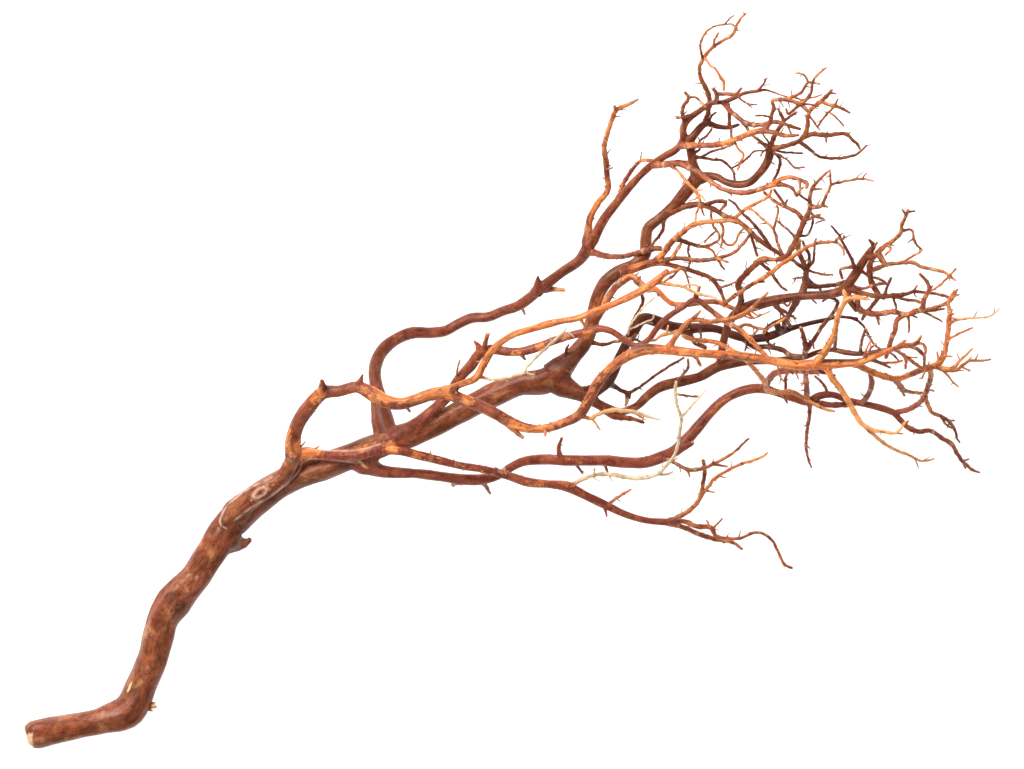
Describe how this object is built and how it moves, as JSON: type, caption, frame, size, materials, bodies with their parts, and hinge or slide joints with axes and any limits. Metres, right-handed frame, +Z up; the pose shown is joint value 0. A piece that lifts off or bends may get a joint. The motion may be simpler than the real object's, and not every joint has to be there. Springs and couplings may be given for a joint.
{
  "type": "driftwood branch",
  "caption": "Dry reddish driftwood branch, a bent bare stem with a sawn end that forks into a wide crown of crooked limbs and fine twigs.",
  "frame": {"origin": "on the ground, under the middle of the branch's box", "axes": "+X from the sawn end towards the crown, along the longest side of the box, +Y across the crown, +Z up from the ground that the branch lies on"},
  "size_m": [0.8259, 0.6235, 0.2387],
  "materials": {
    "bark": "dry, satin, reddish brown"
  },
  "bodies": {
    "root": {"driftwood_branch": "bark"}
  },
  "joints": []
}
